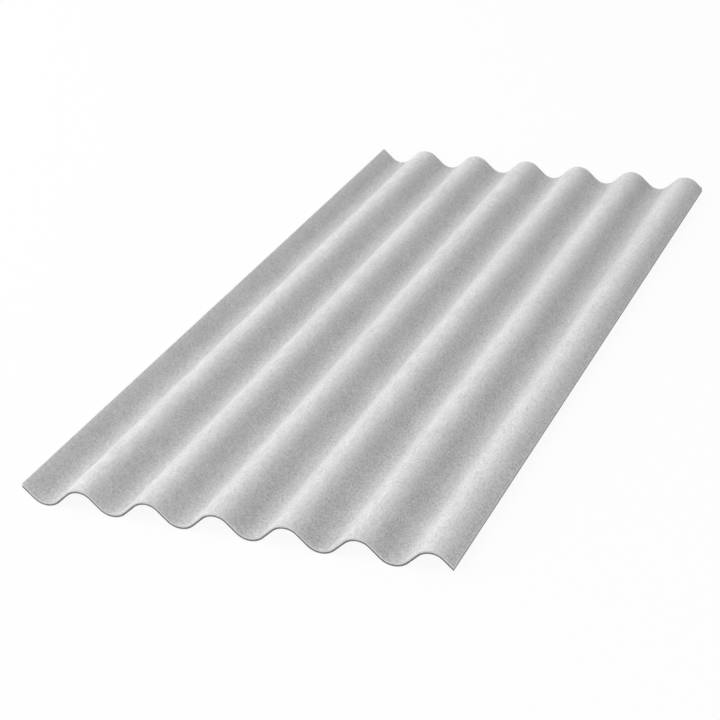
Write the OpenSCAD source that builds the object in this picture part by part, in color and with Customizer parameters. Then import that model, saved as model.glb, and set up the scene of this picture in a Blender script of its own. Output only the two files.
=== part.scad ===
// Corrugated fibre cement roof sheet: one moulded sheet, 2.44 m long,
// with six and a bit waves of 177 mm pitch and both ends cut square.
// Millimetres. The waves run along Y, the width lies along X and the valleys rest on Z = 0.

/* [Sheet] */
// length along the slope of the roof
sheet_length = 2440;    // [1220:10:3660]
// width straight across the waves
sheet_width = 1090;     // [900:1:1300]
// thickness of the material
thickness = 8;          // [5:0.5:9]

/* [Waves] */
// distance from crest to crest
pitch = 177;            // [172:1:182]
// height of a crest above a valley, on the same face
wave_height = 48;       // [43:1:53]
// slope of the straight flank between two bends, in degrees
flank_angle = 43;       // [40:1:46]
// left side edge to the middle of the first valley
first_valley = 63;      // [50:1:76]

/* [Hidden] */

half_pitch = pitch / 2;
half_thick = thickness / 2;
// bend radius at mid thickness that joins each flank smoothly to the next one
bend_radius = (half_pitch * tan(flank_angle) - wave_height) * cos(flank_angle)
              / (2 * (1 - cos(flank_angle)));
// the bends stand this much proud of the flanks, so that their faces cross cleanly
blend = 0.01;
left_edge = -sheet_width / 2;
valley_x = left_edge + first_valley;
valley_centre_z = half_thick + bend_radius;
crest_centre_z = half_thick + wave_height - bend_radius;
// half waves are counted from the first valley: even steps are valleys, odd ones crests
last_step = ceil((sheet_width - first_valley) / half_pitch);
steps = [-1 : last_step];
// how far below the sheet the two working shapes reach
depth = 3 * bend_radius;
fibre_cement = [0.78, 0.78, 0.78];

function is_valley(step) = step % 2 == 0;
function step_x(step) = valley_x + step * half_pitch;
// where a flank meets a bend, on the face at the given height from mid thickness
function bend_end(step, side, face) =
    let (r = is_valley(step) ? bend_radius - face : bend_radius + face)
    is_valley(step)
        ? [step_x(step) + side * r * sin(flank_angle), valley_centre_z - r * cos(flank_angle)]
        : [step_x(step) + side * r * sin(flank_angle), crest_centre_z + r * cos(flank_angle)];

// everything below one face of the sheet
module below(face, margin) {
    difference() {
        union() {
            polygon(concat(
                [[step_x(-1) - half_pitch, -depth - margin],
                 [step_x(last_step) + half_pitch, -depth - margin]],
                [for (step = [last_step : -1 : -1], side = [1, -1]) bend_end(step, side, face)]
            ));
            for (step = steps)
                if (!is_valley(step))
                    translate([step_x(step), crest_centre_z])
                        circle(r = bend_radius + face + blend, $fn = 180);
        }
        for (step = steps)
            if (is_valley(step))
                translate([step_x(step), valley_centre_z])
                    circle(r = bend_radius - face + blend, $fn = 180);
    }
}

// the sheet is what lies below its top face and not below its underside
module section() {
    intersection() {
        difference() {
            below(half_thick, 0);
            below(-half_thick, thickness);
        }
        translate([left_edge, -thickness])
            square([sheet_width, wave_height + 3 * thickness]);
    }
}

module corrugated_sheet() {
    color(fibre_cement)
    rotate([90, 0, 0])
    translate([0, 0, -sheet_length / 2])
    linear_extrude(height = sheet_length)
    translate([0, blend])
    section();
}

corrugated_sheet();
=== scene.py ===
"""A corrugated fibre cement roof sheet, lying on its valleys on a white studio floor.

A flat strip of the sheet's end is pressed on to a wave-shaped line, trimmed at both sides
and then drawn out to the length of the sheet. All lengths are in metres.
"""

import math

import bpy
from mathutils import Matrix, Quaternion, Vector


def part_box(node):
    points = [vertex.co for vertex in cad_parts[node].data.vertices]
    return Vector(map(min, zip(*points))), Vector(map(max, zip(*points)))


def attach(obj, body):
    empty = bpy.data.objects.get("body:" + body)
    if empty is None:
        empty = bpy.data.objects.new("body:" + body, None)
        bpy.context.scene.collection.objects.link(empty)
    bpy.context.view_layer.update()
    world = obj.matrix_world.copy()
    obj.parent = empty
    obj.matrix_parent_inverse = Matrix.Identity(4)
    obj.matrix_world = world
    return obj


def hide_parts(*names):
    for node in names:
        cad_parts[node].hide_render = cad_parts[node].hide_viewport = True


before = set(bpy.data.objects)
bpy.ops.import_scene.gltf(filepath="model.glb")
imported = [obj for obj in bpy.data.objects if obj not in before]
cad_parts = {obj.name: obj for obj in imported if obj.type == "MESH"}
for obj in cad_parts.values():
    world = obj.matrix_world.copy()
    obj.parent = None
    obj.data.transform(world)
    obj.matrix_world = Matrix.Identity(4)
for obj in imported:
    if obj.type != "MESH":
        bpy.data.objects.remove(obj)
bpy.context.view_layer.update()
bpy.ops.object.select_all(action="DESELECT")


# ---- Wave line --------------------------------------------------------------------------
# The mould that gives the sheet its waves, seen from the end: round bends at the crests
# and valleys, joined by straight flanks. It is followed at the middle of the thickness
# and removed once the sheet has taken its shape.

pitch = 0.177
wave_height = 0.048
thickness = 0.008
flank_angle = math.radians(43)
first_valley = 0.063
bend_steps = 24

sheet_low, sheet_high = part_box("corrugated_sheet")
left_edge, right_edge = sheet_low[0], sheet_high[0]
near_end, far_end = sheet_low[1], sheet_high[1]
sheet_length = far_end - near_end

half_pitch = pitch / 2
bend_radius = (
    (half_pitch * math.tan(flank_angle) - wave_height)
    * math.cos(flank_angle) / (2 * (1 - math.cos(flank_angle)))
)
flank_length = (half_pitch - 2 * bend_radius * math.sin(flank_angle)) / math.cos(flank_angle)
crest_centre_z = thickness / 2 + wave_height - bend_radius
valley_centre_z = thickness / 2 + bend_radius
line_start = left_edge + first_valley - half_pitch
half_waves = math.ceil((right_edge - line_start) / half_pitch)


def bend(centre_x, centre_z, angle):
    """Carries the end of the line round a centre; a positive angle passes under it."""
    bpy.ops.mesh.spin(
        steps=bend_steps, angle=angle, center=(centre_x, 0, centre_z), axis=(0, 1, 0)
    )


bpy.ops.mesh.primitive_plane_add(size=bend_radius)
wave_line = bpy.context.object
bpy.ops.object.mode_set(mode="EDIT")
bpy.ops.mesh.merge(type="CENTER")
bpy.ops.transform.translate(value=(line_start, 0, crest_centre_z + bend_radius))
for half in range(half_waves):
    from_x = line_start + half * half_pitch
    falling = half % 2 == 0
    start_z, stop_z = (
        (crest_centre_z, valley_centre_z) if falling else (valley_centre_z, crest_centre_z)
    )
    way = -1 if falling else 1
    bend(from_x, start_z, way * flank_angle)
    flank_run = flank_length * math.cos(flank_angle)
    flank_rise = way * flank_length * math.sin(flank_angle)
    bpy.ops.mesh.extrude_region_move(
        TRANSFORM_OT_translate={"value": (flank_run, 0, flank_rise)}
    )
    bend(from_x + half_pitch, stop_z, -way * flank_angle)
bpy.ops.object.mode_set(mode="OBJECT")
bpy.ops.object.convert(target="CURVE")


# ---- Sheet ------------------------------------------------------------------------------
# One moulded sheet of cement and pulp, pressed on to the waves while wet and trimmed, with
# both sides plumb and both ends square. The felt that it was formed on leaves a fine grain
# on the pale grey skin, which also carries painted light and shade in stripes along the
# waves, and the cut ends have painted shade along their lower half.

half_wave_length = 2 * bend_radius * flank_angle + flank_length
flat_width = half_waves * half_wave_length
columns_per_half_wave = 20
row_cuts = (12, 11)
sliver = 0.002
on_cut = 0.00002
edge_ease = 0.0012
edge_ease_steps = 3
sharp_corner = math.radians(40)
smooth_corner = math.radians(35)
uneven_size = 0.07
uneven_depth = 0.0003

bpy.ops.mesh.primitive_grid_add(
    x_subdivisions=half_waves * columns_per_half_wave,
    y_subdivisions=1,
    size=1,
    location=(flat_width / 2, near_end, 0),
    rotation=(math.pi / 2, 0, 0),
)
sheet = bpy.context.object
sheet.name = "roof_sheet"
sheet.scale = (flat_width, thickness, 1)
bpy.ops.object.transform_apply(location=True, rotation=True, scale=True)
# its first number runs along the flat width, its second through the thickness
sheet.data.uv_layers[0].name = "flat_section"

press = sheet.modifiers.new("press on the waves", "CURVE")
press.object = wave_line
press.deform_axis = "POS_X"
bpy.ops.object.modifier_apply(modifier=press.name)
bpy.data.objects.remove(wave_line)

# each side is trimmed plumb, and a grid line that falls just inside the cut is taken out
for edge_x, outwards in ((left_edge, -1), (right_edge, 1)):
    bpy.ops.object.mode_set(mode="EDIT")
    bpy.ops.mesh.select_all(action="SELECT")
    bpy.ops.mesh.bisect(
        plane_co=(edge_x, 0, 0), plane_no=(outwards, 0, 0), clear_outer=True
    )
    bpy.ops.mesh.select_all(action="DESELECT")
    bpy.ops.object.mode_set(mode="OBJECT")
    for point in sheet.data.vertices:
        point.select = on_cut < abs(point.co.x - edge_x) < sliver
    bpy.ops.object.mode_set(mode="EDIT")
    bpy.ops.mesh.dissolve_verts()
    bpy.ops.object.mode_set(mode="OBJECT")

# the strip is drawn out to the far end, and its long edges are then cut twice into rows
bpy.ops.object.mode_set(mode="EDIT")
bpy.ops.mesh.select_all(action="SELECT")
bpy.ops.mesh.extrude_region_move(TRANSFORM_OT_translate={"value": (0, sheet_length, 0)})
bpy.ops.mesh.select_mode(type="EDGE")
for cuts in row_cuts:
    bpy.ops.mesh.select_all(action="DESELECT")
    bpy.ops.object.mode_set(mode="OBJECT")
    points = sheet.data.vertices
    for edge in sheet.data.edges:
        start, end = (points[corner].co for corner in edge.vertices)
        edge.select = abs(end.y - start.y) > sliver
    bpy.ops.object.mode_set(mode="EDIT")
    bpy.ops.mesh.subdivide(number_cuts=cuts)
bpy.ops.mesh.select_all(action="SELECT")
bpy.ops.mesh.normals_make_consistent(inside=False)
bpy.ops.object.mode_set(mode="OBJECT")

ease = sheet.modifiers.new("ease the trimmed edges", "BEVEL")
ease.width = edge_ease
ease.segments = edge_ease_steps
ease.limit_method = "ANGLE"
ease.angle_limit = sharp_corner
bpy.ops.object.modifier_apply(modifier=ease.name)

# the faces only ever give way inwards, so the sheet stays inside its own size
felt_print = bpy.data.textures.new("felt_print", "CLOUDS")
felt_print.noise_scale = uneven_size
felt_print.noise_depth = 1
uneven = sheet.modifiers.new("unevenness of the moulded faces", "DISPLACE")
uneven.texture = felt_print
uneven.texture_coords = "LOCAL"
uneven.strength = uneven_depth
uneven.mid_level = 1
bpy.ops.object.modifier_apply(modifier=uneven.name)
bpy.ops.object.shade_smooth_by_angle(angle=smooth_corner)


class Wire:
    """A socket of the material being made, which does sums as a number does."""

    tree = None

    def __init__(self, socket):
        self.socket = socket

    @classmethod
    def node(cls, kind, inputs, settings=None, output=0):
        """Adds a node, sets it up, feeds its sockets and gives one of its outputs."""
        made = cls.tree.nodes.new("ShaderNode" + kind)
        for name, value in (settings or {}).items():
            setattr(made, name, value)
        for name, value in inputs.items():
            if isinstance(value, Wire):
                value.feed(made.inputs[name])
            else:
                made.inputs[name].default_value = value
        return cls(made.outputs[output])

    def feed(self, socket):
        """Leads to a socket of another node."""
        Wire.tree.links.new(self.socket, socket)

    def maths(self, operation, a, b):
        return Wire.node("Math", {0: a, 1: b}, {"operation": operation})

    def __add__(self, other):
        return self.maths("ADD", self, other)

    def __radd__(self, other):
        return self.maths("ADD", other, self)

    def __sub__(self, other):
        return self.maths("SUBTRACT", self, other)

    def __rsub__(self, other):
        return self.maths("SUBTRACT", other, self)

    def __mul__(self, other):
        return self.maths("MULTIPLY", self, other)

    def __rmul__(self, other):
        return self.maths("MULTIPLY", other, self)


def new_material(name):
    """Starts a material, and gives it and its shader."""
    material = bpy.data.materials.new(name)
    material.use_nodes = True
    Wire.tree = material.node_tree
    return material, material.node_tree.nodes["Principled BSDF"]


def noise(position, size, detail=2.0, roughness=0.5):
    """Cloudy noise about zero, with lumps of the given size."""
    return Wire.node(
        "TexNoise",
        {"Vector": position, "Scale": 1 / size, "Detail": detail, "Roughness": roughness},
    ) - 0.5


def grey(level):
    return (level, level, level, 1)


def grey_between(dark, light, tone):
    """The colour that lies between two greys: the dark one at 0 and the light one at 1."""
    return Wire.node(
        "Mix",
        {"Factor": tone, "A": grey(dark), "B": grey(light)},
        {"data_type": "RGBA"}, output=2,
    )


def raised(height):
    """The normal of a face with a relief of the given height, in metres."""
    return Wire.node("Bump", {"Height": height, "Strength": 1.0, "Distance": 1.0}, output="Normal")


def skin_material():
    """The moulded faces: soft clouds, a grain drawn out along the sheet, and painted light and
    shade along the waves.
    """
    skin_dark = 0.50
    skin_light = 0.82
    skin_roughness = 0.88
    skin_gloss = 0.25
    middle_tone = 0.54
    crest_stripe = 0.10
    crest_sharpness = 4
    foot_stripe = 0.80
    foot_sharpness = 4
    flank_stripe = 0.50
    flank_sharpness = 8
    stripe_wander = 0.3

    material, shader = new_material("cement_skin")
    place = Wire.node("TexCoord", {}, output="Object")
    flat = Wire.node("UVMap", {}, {"uv_map": "flat_section"})
    across_flat = Wire.node("SeparateXYZ", {"Vector": flat})
    along = Wire.node("SeparateXYZ", {"Vector": place}, output="Y")

    def drawn_out(times):
        """Places on the flat sheet, in metres, with the pattern stretched along its length."""
        return Wire.node(
            "CombineXYZ", {"X": across_flat * flat_width, "Y": along * (1 / times), "Z": 0.0}
        )

    clouds = noise(place, size=0.20, detail=3)
    patches = noise(drawn_out(1.6), size=0.040, detail=4, roughness=0.6)
    dimples = noise(drawn_out(1.8), size=0.011)
    grain = noise(drawn_out(1.8), size=0.0048, detail=3, roughness=0.75)
    streaks = noise(drawn_out(30), size=0.0045)

    half_wave = across_flat * half_waves + patches * stripe_wander

    def stripe(past_crest, sharpness):
        """One along each wave, that many half waves past its crest, fading to nothing."""
        turn = (half_wave - past_crest) * math.pi
        swell = Wire.node("Math", {0: turn}, {"operation": "COSINE"}) * 0.5 + 0.5
        return Wire.node("Math", {0: swell, 1: sharpness}, {"operation": "POWER"})

    # three stripes of painted light and shade run along every wave: a painted highlight on the
    # crest, fainter painted light at the foot of the right-hand flank, and painted shade along the
    # middle of that flank, the crest and flank ones stronger towards the right side
    painted_crest_highlight = stripe(crest_stripe, crest_sharpness)
    painted_foot_light = stripe(foot_stripe, foot_sharpness)
    painted_flank_shade = stripe(flank_stripe, flank_sharpness)
    stripes = (
        painted_crest_highlight * (0.25 + across_flat * 0.10) + painted_foot_light * 0.14
        - painted_flank_shade * (0.08 + across_flat * 0.12)
    )

    # the grain is strongest at the near right corner and weakest under the painted crest highlight
    grain_strength = 2.2 + across_flat * 1.4 - along * 0.4 - painted_crest_highlight * 1.3
    # the tone takes in the stripes of painted light and shade, besides the clouds and grain
    tone = (
        middle_tone + stripes + clouds * 0.35 + patches * 0.58 + dimples * 0.75
        + grain * grain_strength + streaks * 0.3
    )
    grey_between(skin_dark, skin_light, tone).feed(shader.inputs["Base Color"])
    (skin_roughness + grain * 0.12).feed(shader.inputs["Roughness"])
    relief = patches * 0.0045 + dimples * 0.0026 + grain * 0.0040 + streaks * 0.0001
    raised(relief).feed(shader.inputs["Normal"])
    shader.inputs["Specular IOR Level"].default_value = skin_gloss
    return material


def cut_material():
    """The trimmed edges: pale near the top with painted shade below, and the sides paler all over.
    """
    painted_shade_grey = 0.17
    body_light = 0.66
    body_roughness = 0.95
    body_gloss = 0.2
    painted_shade_up_to = 0.41
    painted_shade_fades_by = 0.65
    side_paleness = 0.33

    material, shader = new_material("cement_cut")
    place = Wire.node("TexCoord", {}, output="Object")
    flat = Wire.node("UVMap", {}, {"uv_map": "flat_section"})
    height = Wire.node("SeparateXYZ", {"Vector": flat}, output="Y")
    across = Wire.node("SeparateXYZ", {"Vector": place})
    off_middle = Wire.node("Math", {0: across}, {"operation": "ABSOLUTE"})
    at_side = Wire.node(
        "Math", {0: off_middle, 1: right_edge - 2 * edge_ease}, {"operation": "GREATER_THAN"}
    )
    grit = noise(place, size=0.0016, detail=3, roughness=0.6)
    layers = noise(place, size=0.006)
    # painted shade: each cut face is darkened from its lower edge to about two fifths of the
    # thickness, fading out by two thirds
    tone = Wire.node(
        "MapRange",
        {
            "Value": height + layers * 0.25 + grit * 0.2,
            "From Min": painted_shade_up_to,
            "From Max": painted_shade_fades_by,
        },
        {"interpolation_type": "SMOOTHSTEP"},
    ) + grit * 0.5 + at_side * side_paleness
    grey_between(painted_shade_grey, body_light, tone).feed(shader.inputs["Base Color"])
    raised(grit * 0.0003).feed(shader.inputs["Normal"])
    shader.inputs["Roughness"].default_value = body_roughness
    shader.inputs["Specular IOR Level"].default_value = body_gloss
    return material


sheet.data.materials.append(skin_material())
sheet.data.materials.append(cut_material())
cut_band = edge_ease / 2
for face in sheet.data.polygons:
    within_sides = left_edge + cut_band < face.center.x < right_edge - cut_band
    within_ends = near_end + cut_band < face.center.y < far_end - cut_band
    if not (within_sides and within_ends):
        face.material_index = 1

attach(sheet, "root")
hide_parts("corrugated_sheet")


# ---- Studio -----------------------------------------------------------------------------
# A plain white floor in a white room. Two very wide soft boxes lean over the left side, a
# small weak one stands on the right, and the room fills in the rest.

floor_size = 15
floor_drop = 0.0005
floor_level = 0.9
floor_whiteness = 0.93
room_level = 0.44


def background_rays():
    """One for the rays that should meet plain white: those of the camera, gloss and glass."""
    rays = Wire.node("LightPath", {}, output="Is Camera Ray")
    for kind in ("Is Glossy Ray", "Is Transmission Ray"):
        rays = rays + Wire.node("LightPath", {}, output=kind)
    return rays


bpy.ops.mesh.primitive_plane_add(size=floor_size, location=(0, 0, -floor_drop))
floor = bpy.context.object
floor.name = "floor"
floor_paint, paint = new_material("floor_paint")
paint.inputs["Base Color"].default_value = grey(floor_level)
paint.inputs["Roughness"].default_value = 1.0
paint.inputs["Specular IOR Level"].default_value = 0.0
shine = Wire.node("Emission", {"Color": grey(1), "Strength": 1.0})
white = Wire.node(
    "MixShader",
    {0: background_rays() * floor_whiteness, 1: Wire(paint.outputs[0]), 2: shine},
)
white.feed(floor_paint.node_tree.nodes["Material Output"].inputs["Surface"])
floor.data.materials.append(floor_paint)

world = bpy.data.worlds.new("room")
bpy.context.scene.world = world
world.use_nodes = True
Wire.tree = world.node_tree
room = Wire.node(
    "Background",
    {"Color": grey(1), "Strength": room_level + background_rays() * (1 - room_level)},
)
room.feed(world.node_tree.nodes["World Output"].inputs["Surface"])


def soft_box(name, from_vertical, distance, along, length, height, watts):
    """A lit rectangle facing the sheet; its angle from the vertical is negative on the left."""
    lean = math.radians(from_vertical)
    place = Vector((math.sin(lean) * distance, along, math.cos(lean) * distance))
    bpy.ops.object.light_add(type="AREA", location=place)
    lamp = bpy.context.object
    lamp.name = name
    lamp.data.shape = "RECTANGLE"
    lamp.data.size = length
    lamp.data.size_y = height
    lamp.data.energy = watts
    lamp.rotation_mode = "QUATERNION"
    lamp.rotation_quaternion = place.to_track_quat("Z", "Y")
    lamp.visible_camera = False


soft_box(
    "left_soft_box",
    from_vertical=-55, distance=7, along=0, length=14, height=10, watts=492,
)
soft_box(
    "near_left_soft_box",
    from_vertical=-55, distance=6, along=-3, length=10, height=6, watts=233,
)
soft_box(
    "right_soft_box",
    from_vertical=80, distance=5, along=-2.5, length=5, height=3, watts=60,
)


# ---- Camera -----------------------------------------------------------------------------
# It stands in front of the right side and looks down along the waves.

aim = Vector((-0.0375, -0.3000, 0.0280))
camera_azimuth = math.radians(22.276)
camera_elevation = math.radians(25.595)
camera_roll = math.radians(-2.09)
camera_distance = 5.5225
lens_mm = 102.94
sensor_mm = 36

towards_camera = Vector((
    math.sin(camera_azimuth) * math.cos(camera_elevation),
    -math.cos(camera_azimuth) * math.cos(camera_elevation),
    math.sin(camera_elevation),
))
bpy.ops.object.camera_add(location=aim + camera_distance * towards_camera)
camera = bpy.context.object
camera.name = "camera"
camera.data.lens = lens_mm
camera.data.sensor_width = sensor_mm
camera.rotation_mode = "QUATERNION"
camera.rotation_quaternion = (
    (-towards_camera).to_track_quat("-Z", "Y") @ Quaternion((0, 0, 1), camera_roll)
)
bpy.context.scene.camera = camera
bpy.context.scene.view_settings.view_transform = "Standard"
